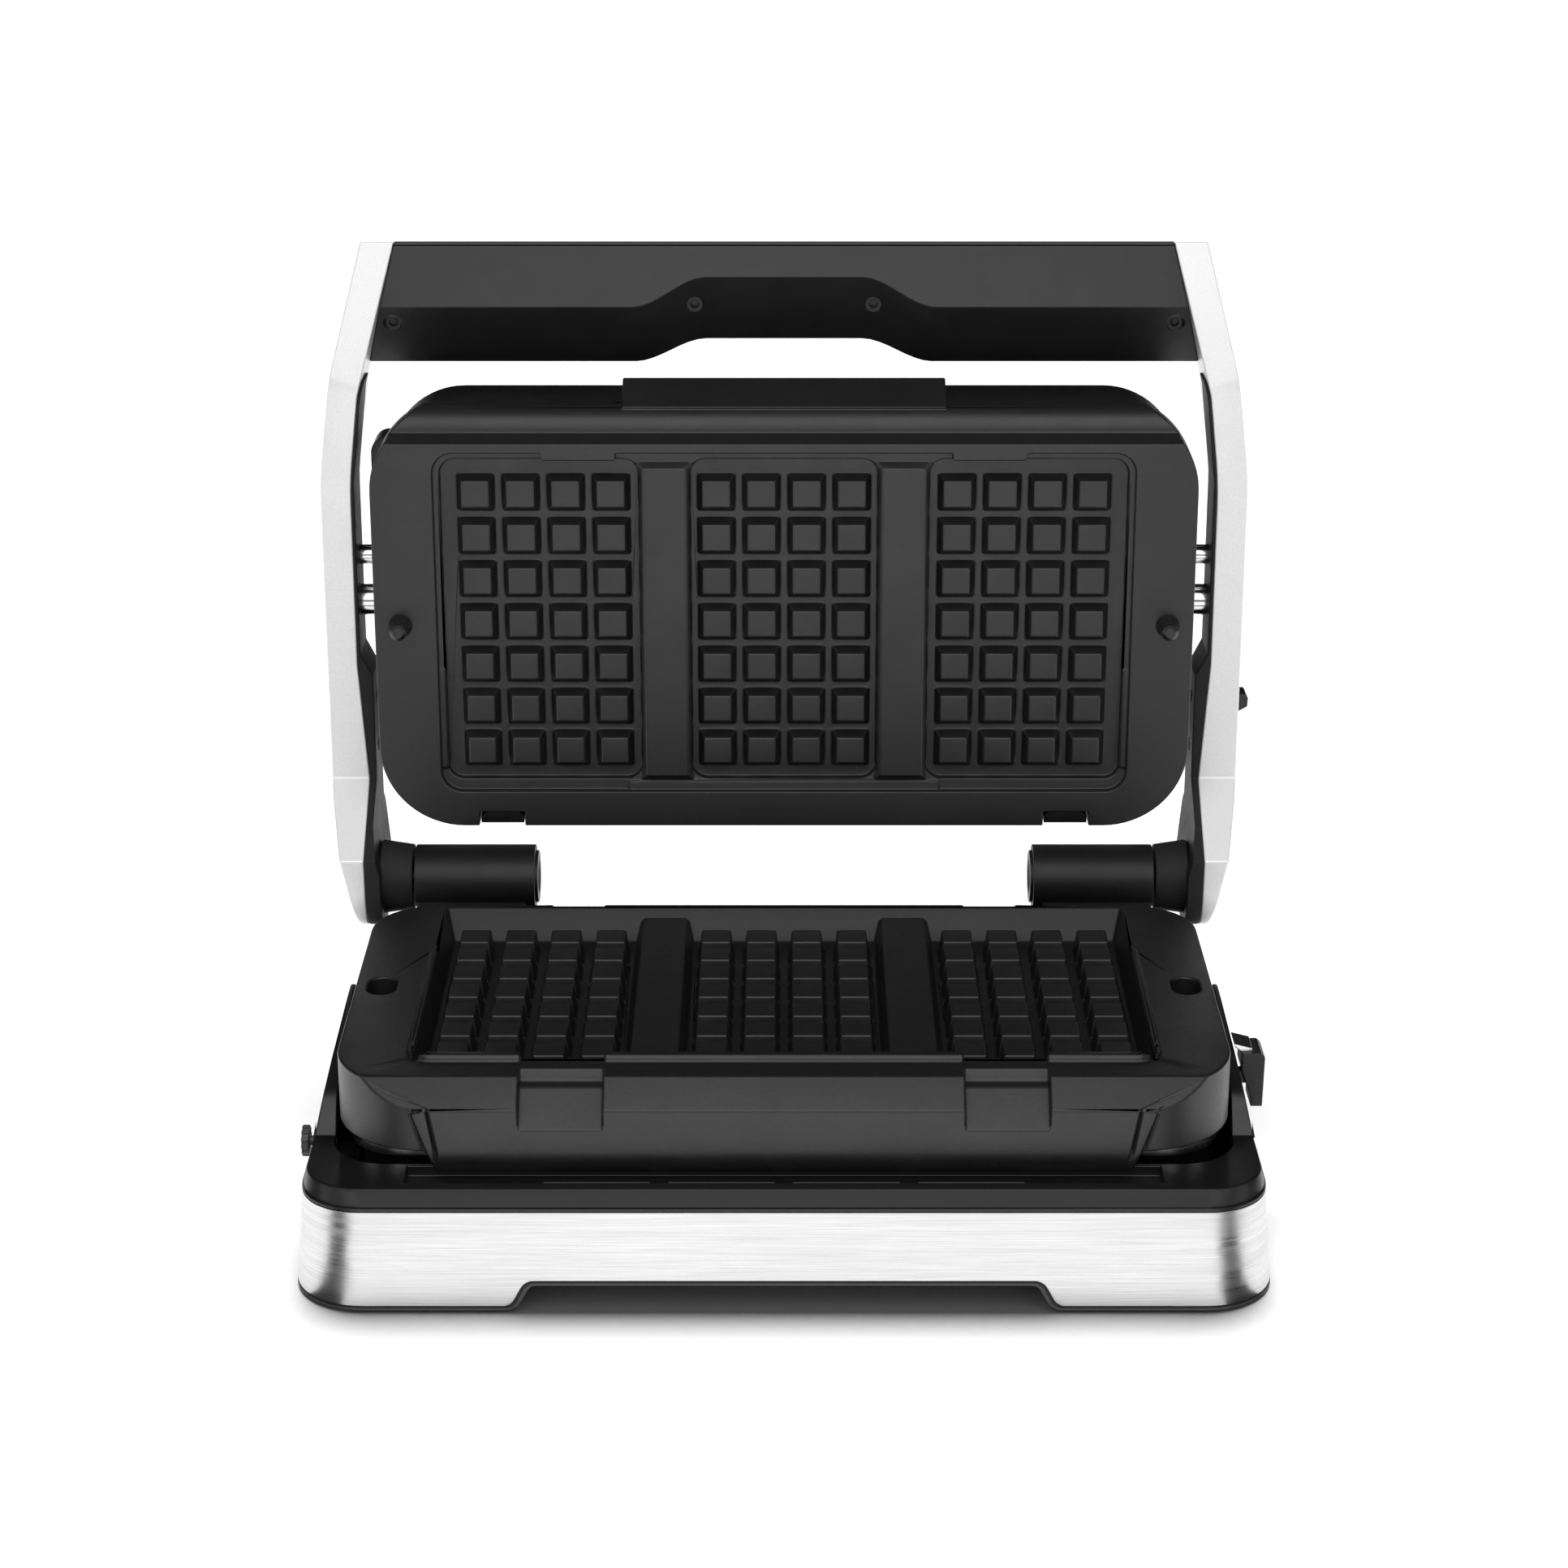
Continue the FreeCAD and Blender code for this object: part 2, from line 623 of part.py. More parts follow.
def make_lower_plate():
    half, front, rear = d.plate_half, -d.plate_front, d.plate_rear
    raw = block("plate_raw", (-half, half), (front, rear), (d.skirt_foot, d.rim))
    corners = [(-half, front, 33), (half, front, 33), (-half, rear, 24), (half, rear, 24)]
    slabbed = softened("plate_slab", raw, "z", corners)
    apron_outline = [
        (-128, 70), (-128, 66), (-120, d.apron_foot), (120, d.apron_foot), (128, 66), (128, 70),
    ]
    apron = prism("plate_apron", "XZ", apron_outline, (front, front + 4))
    apron_slope = [(front - 1, d.skirt_foot), (front, d.skirt_foot), (front + 2.4, d.apron_foot),
                   (front + 2.4, 40), (front - 1, 40)]
    trimmed = cut("apron_trimmed", apron, prism("apron_slope", "YZ", apron_slope, (-140, 140)))
    lip_half = d.cavity_half + d.lip
    lip_front = -d.cavity_front - d.lip
    lip_block = block("lip_block", (-lip_half, lip_half), (lip_front, d.lip_rear), (70, d.lip_top))
    lip_round = softened(
        "lip_round", lip_block, "z",
        [(-lip_half, lip_front, 9), (lip_half, lip_front, 9)],
    )
    doc.recompute()
    lip_edge = doc.addObject("Part::Chamfer", "lip_edge")
    lip_edge.Base = lip_round
    lip_edge.Edges = [
        (number, 1.6, 1.6)
        for number, edge in enumerate(lip_round.Shape.Edges, start=1)
        if all(abs(v.Z - value(d.lip_top)) < 0.01 for v in edge.Vertexes)
        and edge.CenterOfMass.y < value(d.lip_rear) - 1
    ]
    body = fuse("plate_body", slabbed, trimmed, lip_edge)
    toe = d.rim - 9.2
    slope = [(front - 1, toe), (front, toe), (front + 9.2, d.rim), (front + 9.2, 85), (front - 1, 85)]
    cavity = frustum(
        "plate_cavity", (-125.5, 125.5), (-91.5, 36),
        (-d.cavity_half, d.cavity_half), (-d.cavity_front, d.cavity_rear), d.cavity_floor, d.rim + 0.01,
    )
    over = block("over_cavity", (-d.cavity_half, d.cavity_half), (-d.cavity_front, 60), (d.rim, 90))
    spout = [
        (-120, 90), (-120, 59.5), (front, 59.5), (-104.8, 70.9), (-102, 71.8), (-100.3, d.rim), (-93, d.rim),
        (-93, 90),
    ]
    right_spout = prism("plate_spout", "YZ", spout, (d.spout_near, d.spout_far))
    under = slab(
        "plate_under", "XY", (5 - half, half - 5), (front + 5, rear - 4), 26, (40, d.cavity_floor - 4),
    )
    hole = slab(
        "guide_hole", "XY", (d.guide_out - 5.2, d.guide_out + 5.2),
        (d.guide_back - 7.8, d.guide_back + 7.8), 5.19, (d.rim - 11.8, 80),
    )
    dip = block("rear_dip", (68.7, 88.4), (46.6, 60), (d.rim - 1, 90))
    groove_line = [(-122.6, 67), (-121.7, 67), (-117.3, 41), (-118.4, 41)]
    groove = prism("apron_groove", "XZ", groove_line, (front - 1, front + 1.3))
    hollowed = cut(
        "plate_hollowed", body,
        prism("plate_slope", "YZ", slope, (-170, 170)), cavity, over,
        both_sides("spouts", right_spout), under, both_sides("guide_holes", hole),
        both_sides("rear_dips", dip), both_sides("apron_grooves", groove),
    )
    bump = frustum(
        "bump_seed", (-6.7, 6.7), (d.grid_back - 7.1, d.grid_back + 7.1), (-5.5, 5.5),
        (d.grid_back - 5.9, d.grid_back + 5.9), d.cavity_floor - 0.5, d.bump_top,
    )
    bar_outline = [(34.5, 65), (37, 73.5), (53.5, 73.5), (56, 65)]
    divider = prism("divider", "XZ", bar_outline, (-92, 42))
    bumps = copies("bumps", bump, grid_spots(rows_up=False))
    node("lower_plate", fuse("plate", hollowed, bumps, both_sides("dividers", divider)))


# ---------------------------------------------------------------- lid frame

# The inner face of the right arm, from its foot to its top, as seen from the front.
ARM_INNER = [(161.3, 57), (161.6, 112), (164.6, 160), (164.3, 232), (160.4, 266), (144.74, 326)]


def side_profile(name, outline, span):
    """A side view drawn out across the width, with the round end about the hinge."""
    strip = prism(name + "_strip", "YZ", outline, span)
    end = rod(name + "_end", "x", (d.hinge_back, d.hinge_up), span, d.arm_end)
    return fuse(name, strip, end)


def make_arms():
    low = d.hinge_back - d.arm_end
    side = [
        (low, d.hinge_up), (low, 91), (d.arm_face, 113.6), (d.arm_face, 270), (100, 322), (114, 318),
        (d.handle_back, 300.5), (d.handle_back, 275), (d.arm_back, 205), (d.arm_back, 97),
        (92.7, d.hinge_up),
    ]
    profile = side_profile("arm_side", side, (140, 180))
    outer = [(157.3, 326), (171.2, 270.8), (175.9, 233), (176.3, 112), (170.2, 88), (163.8, 57)]
    front = prism("arm_front_raw", "XZ", ARM_INNER + outer, (50, 140))
    bends = [(171.2, 270.8, 150), (175.9, 233, 150), (176.3, 112, 40), (170.2, 88, 60), (164.3, 232, 150)]
    arm = common("arm_shape", softened("arm_front", front, "y", bends), profile)
    pivot = rod("arm_pivot_hole", "x", (d.pin_back, d.pivot_pin_up), (150, 170), d.pivot_pin_radius)
    limit = rod("arm_limit_hole", "x", (d.pin_back, d.limit_pin_up), (150, 170), d.limit_pin_radius)
    plain = cut("arm", arm, pivot, limit)
    node("arm_left", mirrored("arm_left_shape", plain))
    slot = block("slider_slot", (167, 180), (100.4, 105.6), (133.5, 149.5))
    node("arm_right", cut("arm_slotted", plain, slot))


LINER_SCREWS = (124, 144)


def make_liners():
    low = d.hinge_back - d.arm_end
    side = [
        (low, d.hinge_up), (low, 91), (d.arm_face + 0.5, 113.6), (d.arm_face + 0.5, 262),
        (94, 270), (109, 270), (109, 97), (92.7, d.hinge_up),
    ]
    profile = side_profile("liner_side", side, (150, 170))
    inner = [
        (155.5, 57), (155.5, 84), (158.9, 100), (158.9, 155),
        (163.3, 164), (163.1, 232), (159.2, 266), (158.2, 270),
    ]
    front = prism("liner_front_raw", "XZ", inner + [(159.36, 270)] + ARM_INNER[4::-1], (50, 140))
    strip = common("liner_strip", softened("liner_front", front, "y", [(164.3, 232, 150)]), profile)
    centre = (d.hinge_back, d.hinge_up)
    boss = cone("liner_boss", "x", centre, (d.barrel_far + 0.8, 156.2), (12.6, 14.4))
    bore = rod("liner_bore", "x", centre, (d.barrel_far - 1, 153), d.shaft_radius)
    pins = [
        rod("liner_pivot_hole", "x", (d.pin_back, d.pivot_pin_up), (150, 170), d.pivot_pin_radius),
        rod("liner_limit_hole", "x", (d.pin_back, d.limit_pin_up), (150, 170), d.limit_pin_radius),
    ]
    holes = [rod(f"liner_hole_{i}", "x", (98, up), (157, 170), 2.4) for i, up in enumerate(LINER_SCREWS)]
    liner = cut("liner", fuse("liner_all", strip, boss), bore, *pins, *holes)
    node("arm_liner_right", liner)
    node("arm_liner_left", mirrored("liner_left", liner))
    screw = rod("liner_screw", "x", (98, 0), (159.2, 161.2), 2.4)
    socket = rod("liner_screw_socket", "x", (98, 0), (158.5, 160), 1.1)
    seed = cut("liner_screw_head", screw, socket)
    pair = copies("liner_screw_pair", seed, [(0, 0, up) for up in LINER_SCREWS])
    node("arm_screws", both_sides("liner_screws", pair))


def make_pins():
    centre = (d.hinge_back, d.hinge_up)
    shaft = rod("shaft", "x", centre, (d.barrel_near + 4, 153), d.shaft_radius)
    node("hinge_shaft_right", shaft)
    node("hinge_shaft_left", mirrored("shaft_left", shaft))
    pivot = rod("pivot_pin", "x", (d.pin_back, d.pivot_pin_up), (147, 170), d.pivot_pin_radius)
    node("pivot_pins", both_sides("pivot_pins_all", pivot))
    limit = rod("limit_pin", "x", (d.pin_back, d.limit_pin_up), (147, 170), d.limit_pin_radius)
    node("limit_pins", both_sides("limit_pins_all", limit))


HANDLE_SCREWS = ((-148, 289.5), (-33.8, 296.5), (33.8, 296.5), (148, 289.5))


def make_handle():
    outline = [
        (d.handle_face, d.handle_top), (d.handle_face, 297), (120, 271.5), (d.handle_back, 275),
        (d.handle_back, 300), (114, d.handle_top - 4.5),
    ]
    bar = prism("handle_raw", "YZ", outline, (-170, 170))
    between = [(-160.4, 266), (160.4, 266), (144.74, 326), (-144.74, 326)]
    fitted = common("handle_fitted", bar, prism("handle_ends", "XZ", between, (90, 150)))
    # The bar's underside rises in a soft S over the hand grip.
    steps = 8
    ramp = [i / steps for i in range(steps + 1)]
    sides = [(-1, t) for t in ramp] + [(1, t) for t in reversed(ramp)]
    sections = []
    for i, (side, t) in enumerate(sides):
        rise = t * t * (3 - 2 * t)
        out = side * (d.grip_ramp - (d.grip_ramp - d.grip_half) * t)
        section = sketch_at(f"grip_section_{i}", "YZ", out)
        front = d.grip_lift * rise - 0.05 + 297
        below = d.grip_lift_below * rise - 0.05
        draw_polygon(section, [
            (90, front), (d.handle_face, front), (120, below + 271.5),
            (145, below + 278), (145, 240), (90, 240),
        ])
        sections.append(section)
    gripped = cut("handle_gripped", fitted, loft("grip_cutter", sections))
    room = [(105, 314), (105, 301), (122, 279), (129.5, 281), (129.5, 298), (113, 312.5)]
    rooms = both_sides("handle_rooms", prism("handle_room", "YZ", room, (60, 134)))
    seats = [rod(f"handle_hole_{i}", "y", spot, (95, 113), 3.2) for i, spot in enumerate(HANDLE_SCREWS)]
    lamps = [rod(f"lamp_hole_{i}", "y", (x, 291), (130, 140), 2.6) for i, x in enumerate((-7, 7))]
    bored = cut("handle_bored", gripped, rooms, *seats, *lamps)
    seam = [(95, 320.3), (103, 320.3), (136, 283), (150, 283), (150, 340), (95, 340)]
    above = prism("handle_above", "YZ", seam, (-170, 170))
    node("handle_upper_shell", common("handle_top_part", bored, above))
    node("handle_lower_shell", cut("handle_low_part", bored, above))
    head = rod("handle_screw_head", "y", (0, 0), (109, 113), 3.2)
    socket = rod("handle_screw_socket", "y", (0, 0), (108, 110.6), 1.5)
    screw = cut("handle_screw", head, socket)
    node("handle_screws", copies("handle_screw_set", screw, [(x, 0, z) for x, z in HANDLE_SCREWS]))
    lamp = rod("lamp_seed", "y", (0, 291), (130, 133.8), 2.6)
    node("pilot_lamps", copies("lamps", lamp, [(-7, 0, 0), (7, 0, 0)]))


def make_hinge_release():
    outline = [(176.7, 136.6), (181, 139), (181.2, 142.5), (180.2, 144.3), (176.7, 144.3)]
    cap = prism("slider_cap", "XZ", outline, (98.6, 107.4))
    stem = block("slider_stem", (168, 177), (100.7, 105.3), (137, 142.5))
    node("hinge_release", fuse("slider", cap, stem))


# ---------------------------------------------------------------- floating upper half


def make_housing():
    x = (-d.housing_half, d.housing_half)
    z = (d.housing_low, d.housing_high)
    shell = slab("housing_out", "XZ", x, z, 30, (d.housing_face, d.housing_back))
    doc.recompute()
    rounded = doc.addObject("Part::Fillet", "housing_rounded")
    rounded.Base = shell
    rounded.Edges = [
        (number, 9.0, 9.0)
        for number, edge in enumerate(shell.Shape.Edges, start=1)
        if all(abs(v.Y - value(d.housing_back)) < 0.01 for v in edge.Vertexes)
    ]
    inner_x = (x[0] + d.wall, x[1] - d.wall)
    inner_z = (z[0] + d.wall, z[1] - d.wall)
    hollow = slab("housing_in", "XZ", inner_x, inner_z, 27.5, (d.housing_face - 1, d.housing_back - 8))
    back = d.housing_back
    deeper = slab("housing_deep", "XZ", (-138, 138), (117, 247), 20, (back - 9, back - 3.2))
    panel_seat = slab("panel_seat", "XZ", (-136, 136), (119, 245), 18, (back - 1, back + 1))
    bore_radius = d.pivot_pin_radius + d.shaft_play
    pivot = rod("housing_bore", "x", (d.pin_back, d.pivot_pin_up), (-160, 160), bore_radius)
    limit = slab(
        "housing_slot", "YZ", (d.pin_back - 6.4, d.pin_back + 4.3),
        (d.limit_pin_up - 4.3, d.limit_pin_up + 4.3), 4.2, (-160, 160),
    )
    button_hole = block("button_hole", (-160, -140), (100.6, 116.4), (231.1, 246.9))
    vents = [
        block(f"housing_vent_{i}", (i * 13 - 2, i * 13 + 2), (108, 124), (96, 106)) for i in range(-6, 7)
    ]
    body = cut("housing", rounded, hollow, deeper, panel_seat, pivot, limit, button_hole, *vents)
    sleeves = both_sides("pin_sleeves", cut(
        "pin_sleeve",
        rod("sleeve_out", "x", (d.pin_back, d.pivot_pin_up), (141, 151), 7.6),
        rod("sleeve_in", "x", (d.pin_back, d.pivot_pin_up), (140, 152), bore_radius),
    ))
    slot_free = slab(
        "sleeve_slot", "YZ", (d.pin_back - 6.4, d.pin_back + 4.3),
        (d.limit_pin_up - 4.3, d.limit_pin_up + 4.3), 4.2, (-160, 160),
    )
    hook_slot = block("hook_slot", (100.8, 117.5), (94, 97), (102, 105))
    whole_housing = fuse("housing_all", body, sleeves)
    node("lid_housing", cut("housing_done", whole_housing, slot_free, both_sides("hook_slots", hook_slot)))
    panel = slab("panel", "XZ", (-136, 136), (119, 245), 18, (d.housing_back - 1, d.housing_back))
    node("lid_top_panel", panel)
    hook = block("hook", (100.8, 117.5), (75.4, 97), (99.4, 102.2))
    tip = frustum("hook_tip", (100.8, 117.5), (75.4, 92), (102.8, 115.5), (75.4, 92), 102.2, 103.9)
    heel = block("hook_heel", (100.8, 117.5), (94.3, 97), (102.2, 112))
    node("plate_hooks", both_sides("hooks", fuse("hook_all", hook, tip, heel)))


def make_lid_insides():
    tray = slab("lid_tray_out", "XZ", (-140, 140), (112, 250), 18, (96.5, 103))
    hollow = slab("lid_tray_in", "XZ", (-139, 139), (113, 249), 17, (95, 102.2))
    ends = ((-150, -138), (138, 150))
    pin_room = [block(f"tray_room_{i}", x, (90, 112), (168, 210)) for i, x in enumerate(ends)]
    node("upper_reflector", cut("lid_tray", tray, hollow, *pin_room))
    node("upper_element", heater("lid_loop", "XZ", (-104, 104), (132, 230), 90.2))


def make_upper_plate():
    half = d.plate_half
    z = (d.lid_plate_low, d.lid_plate_high)
    body = slab("lid_plate_out", "XZ", (-half, half), z, d.lid_round, (d.lid_face, d.lid_plate_back))
    tongue = [
        (89, 258.5), (89, 260.9), (89.9, 261.8), (103.6, 269.3),
        (104.4, 268.9), (104.4, 266.9), (94.1, 261.3), (91.5, 258.5),
    ]
    tab = prism("lid_plate_tab", "YZ", tongue, (-61.2, 61.2))
    ring = slab("ring_pocket", "XZ", (-132, 132), (112.95, 247.5), 8, (70, d.ring_floor))
    # The ring stops where the lower lip has its spouts, so the plate stays whole there.
    gap = block("ring_gap", (63.2, 90.8), (70, d.ring_floor + 1), (d.pad_high, 250))
    bridge = frustum_up(
        "ring_bridge", (34.9, 55.1), (116.6, 243.9), (37.1, 52.8), (119.3, 241.5), d.ring_floor, d.lid_face,
    )
    pocket = cut("ring_pocket_cut", ring, both_sides("ring_gaps", gap), both_sides("ring_bridges", bridge))
    middle = slab("pad_middle", "XZ", (-35.4, 35.4), (d.pad_low, d.pad_high), 6, (60, d.pad_floor))
    right = slab("pad_right", "XZ", (54.6, 129.5), (d.pad_low, d.pad_high), 6, (60, d.pad_floor))
    under = slab("lid_plate_under", "XZ", (5 - half, half - 5), (109, 248), 27, (d.pad_floor + 4, 100))
    notch_block = block("clip_notch", (100.4, 117.9), (60, 100), (90, 104.5))
    # Behind a narrow ledge the top front edge rolls back in a quarter round.
    turns = [math.radians(90 * i / 10) for i in range(11)]
    depth = d.lid_plate_back - 84.5
    roll = [(84.5 + depth * (1 - math.cos(turn)), 252.4 + 9.6 * math.sin(turn)) for turn in turns]
    behind = d.lid_plate_back + 1
    slope = [(70, 251.3), (d.lid_face, 251.3)] + roll + [(behind, 262.0), (behind, 280), (70, 280)]
    carved = cut(
        "lid_plate_carved", body, prism("lid_plate_slope", "YZ", slope, (-170, 170)), pocket, middle,
        both_sides("outer_pads", right), under, both_sides("clip_notches", notch_block),
    )
    side_step = block("ring_side_step", (129.6, 132.5), (75.6, 77), (122, 161.8))
    low_step = block("ring_low_step", (-60, 60), (75.6, 77), (112, 116.6))
    centre = d.hinge_up + d.hinge_back - d.grid_back - 0.5
    bump = frustum_up(
        "lid_bump_seed", (-7.3, 7.3), (centre - 7.4, centre + 7.4), (-5.1, 5.1),
        (centre - 5.1, centre + 5.1), d.pad_floor + 0.5, d.pad_tips,
    )
    bumps = copies("lid_bumps", bump, grid_spots(rows_up=True))
    node("upper_plate", fuse("lid_plate", carved, tab, both_sides("side_steps", side_step), low_step, bumps))
    up = d.hinge_up + d.hinge_back - d.guide_back - 0.6
    foot = cone("pin_foot", "y", (d.guide_out, up), (69.5, d.lid_face), (3.2, 4.6))
    tip = rod("pin_tip", "y", (d.guide_out, up), (64.4, 69.6), 3.2)
    dome = cone("pin_dome", "y", (d.guide_out, up), (62.9, 64.4), (1.8, 3.2))
    node("guide_pins", both_sides("guide_pins_all", fuse("guide_pin", foot, tip, dome)))


def make_upper_release():
    raw = block("button_raw", (-157.6, -146), (101, 116), (231.5, 246.5))
    button = softened("button_round", raw, "y", [(-157.6, 246.5, 6), (-157.6, 231.5, 2)])
    node("upper_release_button", button)


# ---------------------------------------------------------------- base controls


def make_lower_release():
    side = [
        (166.6, 43.2), (170.9, 43.2), (171.2, 62.3), (169.6, 63.9),
        (163.0, 63.9), (163.0, 57.2), (166.6, 47),
    ]
    box = prism("lever_box", "XZ", side, (-62, -48))
    stem = rod("lever_stem", "x", (-56, 53), (158.4, 166.2), 3.0)
    node("lower_release_lever", fuse("lever", box, stem))
    hook = [(160.0, 67.0), (160.6, 65.4), (163.1, 63.9), (166.6, 63.9), (166.6, 65.3)]
    node("lower_catch", prism("catch", "XZ", hook, (-60.5, -50)))


def make_browning_knob():
    centre = (d.knob_back, d.knob_up)
    disc = rod("knob_disc", "x", centre, (-169.3, -166.8), 4.7)
    shaft = rod("knob_shaft", "x", centre, (-168, -158.6), 1.8)
    rib = block("knob_rib", (-169.3, -166.8), (-0.6, 0.6), (4.0, 5.5))
    doc.recompute()
    ribs = []
    for turn in range(12):
        solid = rib.Shape.copy()
        solid.rotate(Vector(), Vector(1, 0, 0), 30 * turn)
        solid.translate(Vector(0, value(d.knob_back), value(d.knob_up)))
        ribs.append(solid)
    ring = doc.addObject("Part::Feature", "knob_ribs")
    ring.Shape = Part.makeCompound(ribs)
    node("browning_knob", fuse("knob", disc, shaft, ring))


def check_and_write():
    doc.recompute()
    for thing in doc.Objects:
        if "Invalid" in thing.State or "Error" in thing.State:
            raise ValueError(f"{thing.Name} failed: {thing.State}")
    os.makedirs("parts", exist_ok=True)
    for thing in nodes:
        shape = thing.Shape
        if shape.isNull() or not shape.isValid() or not shape.Solids:
            raise ValueError(f"{thing.Label} has no valid solid")
        shape.exportStep(f"parts/{thing.Label}.step")
        box = shape.BoundBox
        print(
            f"{thing.Label:22s} {len(shape.Solids):3d} solids {shape.Volume / 1000:9.2f} cm3 "
            f"x {box.XMin:7.1f} {box.XMax:7.1f} y {box.YMin:7.1f} {box.YMax:7.1f} "
            f"z {box.ZMin:6.1f} {box.ZMax:6.1f}"
        )


whole, core, inner_notch = make_band_and_seal()
make_pan(whole, core, inner_notch)
make_feet_and_screws()
make_cover()
make_base_insides()
make_barrel()
make_lower_plate()
make_arms()
make_liners()
make_pins()
make_handle()
make_hinge_release()
make_housing()
make_lid_insides()
make_upper_plate()
make_upper_release()
make_lower_release()
make_browning_knob()
check_and_write()
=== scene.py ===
"""Looks of an open waffle maker: rounded edges, procedural finishes, studio and camera, in metres."""

import json
import math

import bmesh
import bpy
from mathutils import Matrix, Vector


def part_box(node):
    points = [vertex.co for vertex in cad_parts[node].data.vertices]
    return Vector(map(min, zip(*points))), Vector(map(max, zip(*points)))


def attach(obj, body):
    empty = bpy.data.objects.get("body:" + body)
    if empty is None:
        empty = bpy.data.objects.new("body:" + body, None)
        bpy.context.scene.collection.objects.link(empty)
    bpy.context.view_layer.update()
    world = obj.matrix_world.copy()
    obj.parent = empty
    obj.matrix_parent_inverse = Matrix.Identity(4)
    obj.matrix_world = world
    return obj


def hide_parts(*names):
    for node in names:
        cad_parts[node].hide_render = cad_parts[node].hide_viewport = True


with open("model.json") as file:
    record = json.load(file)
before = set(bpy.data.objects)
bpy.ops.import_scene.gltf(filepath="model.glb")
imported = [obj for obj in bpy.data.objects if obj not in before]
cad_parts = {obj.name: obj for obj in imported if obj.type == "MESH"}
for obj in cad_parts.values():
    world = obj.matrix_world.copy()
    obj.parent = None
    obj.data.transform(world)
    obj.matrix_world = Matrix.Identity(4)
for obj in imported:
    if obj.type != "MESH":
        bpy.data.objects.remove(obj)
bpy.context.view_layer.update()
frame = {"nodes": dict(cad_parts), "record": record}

MM = 0.001
SLOT_OF = {part["node"]: part["material_slot"] for part in frame["record"]["subparts"]}
# The slider in the right arm is dark in the photograph.
SLOT_OF["hinge_release"] = "black_plastic"
BODY_OF = {
    node: body
    for body, members in frame["record"]["behaviour"]["bodies"].items()
    for node in members
}

# Edge radii in millimetres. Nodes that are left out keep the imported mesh.
EDGE_RADIUS = {
    "base_band": 0.35,
    "base_cover": 0.5,
    "base_pan": 0.4,
    "base_feet": 0.4,
    "base_screws": 0.15,
    "cord_bush": 0.3,
    "hinge_barrel_left": 0.3,
    "hinge_barrel_right": 0.3,
    "barrel_cap_left": 0.3,
    "barrel_cap_right": 0.3,
    "lower_plate": 0.85,
    "upper_plate": 0.6,
    "arm_left": 0.6,
    "arm_right": 0.6,
    "arm_liner_left": 0.4,
    "arm_liner_right": 0.4,
    "arm_screws": 0.15,
    "pivot_pins": 0.25,
    "limit_pins": 0.2,
    "handle_upper_shell": 0.5,
    "handle_lower_shell": 0.6,
    "handle_screws": 0.15,
    "hinge_release": 0.3,
    "lid_housing": 0.6,
    "lid_top_panel": 0.3,
    "plate_hooks": 0.2,
    "guide_pins": 0.2,
    "upper_release_button": 0.4,
    "lower_release_lever": 0.4,
    "lower_catch": 0.15,
    "browning_knob": 0.15,
}


class Graph:
    """A material's node tree, with one method for each kind of node that the finishes share."""

    def __init__(self, name):
        self.material = bpy.data.materials.new(name)
        self.material.use_nodes = True
        self.tree = self.material.node_tree
        self.tree.nodes.clear()
        self.shader = self.tree.nodes.new("ShaderNodeBsdfPrincipled")
        output = self.tree.nodes.new("ShaderNodeOutputMaterial")
        self.link(self.shader.outputs["BSDF"], output.inputs["Surface"])
        self.place = self.tree.nodes.new("ShaderNodeTexCoord").outputs["Object"]

    def link(self, source, target):
        self.tree.links.new(source, target)

    def put(self, node, socket, given):
        """Sets an input to a number or colour, or links it to another node's output."""
        if isinstance(given, bpy.types.NodeSocket):
            self.link(given, node.inputs[socket])
        else:
            node.inputs[socket].default_value = given

    def stretched(self, stretch):
        mapping = self.tree.nodes.new("ShaderNodeMapping")
        self.link(self.place, mapping.inputs["Vector"])
        mapping.inputs["Scale"].default_value = stretch
        return mapping.outputs["Vector"]

    def noise(self, per_metre, detail=3.0, rough=0.5, stretch=(1, 1, 1)):
        node = self.tree.nodes.new("ShaderNodeTexNoise")
        self.link(self.stretched(stretch), node.inputs["Vector"])
        node.inputs["Scale"].default_value = per_metre
        node.inputs["Detail"].default_value = detail
        node.inputs["Roughness"].default_value = rough
        return node.outputs["Fac"]

    def remap(self, source, low, high, start=0.3, end=0.7):
        node = self.tree.nodes.new("ShaderNodeMapRange")
        self.link(source, node.inputs["Value"])
        node.inputs["From Min"].default_value = start
        node.inputs["From Max"].default_value = end
        node.inputs["To Min"].default_value = low
        node.inputs["To Max"].default_value = high
        return node.outputs["Result"]

    def blend(self, factor, first, second):
        node = self.tree.nodes.new("ShaderNodeMix")
        node.data_type = "RGBA"
        self.put(node, 0, factor)
        self.put(node, 6, first)
        self.put(node, 7, second)
        return node.outputs[2]

    def combine(self, operation, first, second):
        node = self.tree.nodes.new("ShaderNodeMath")
        node.operation = operation
        self.put(node, 0, first)
        self.put(node, 1, second)
        return node.outputs[0]

    def bump(self, height, depth_mm, under=None):
        node = self.tree.nodes.new("ShaderNodeBump")
        node.inputs["Distance"].default_value = depth_mm * MM
        self.link(height, node.inputs["Height"])
        if under is not None:
            self.link(under, node.inputs["Normal"])
        return node.outputs["Normal"]

    def set(self, **values):
        for name, given in values.items():
            self.put(self.shader, name.replace("_", " "), given)
        return self.material


def grey(level, tint=0.0):
    """A neutral colour, a little cooler where tint is above 0."""
    return (level, level, level * (1 + tint), 1)


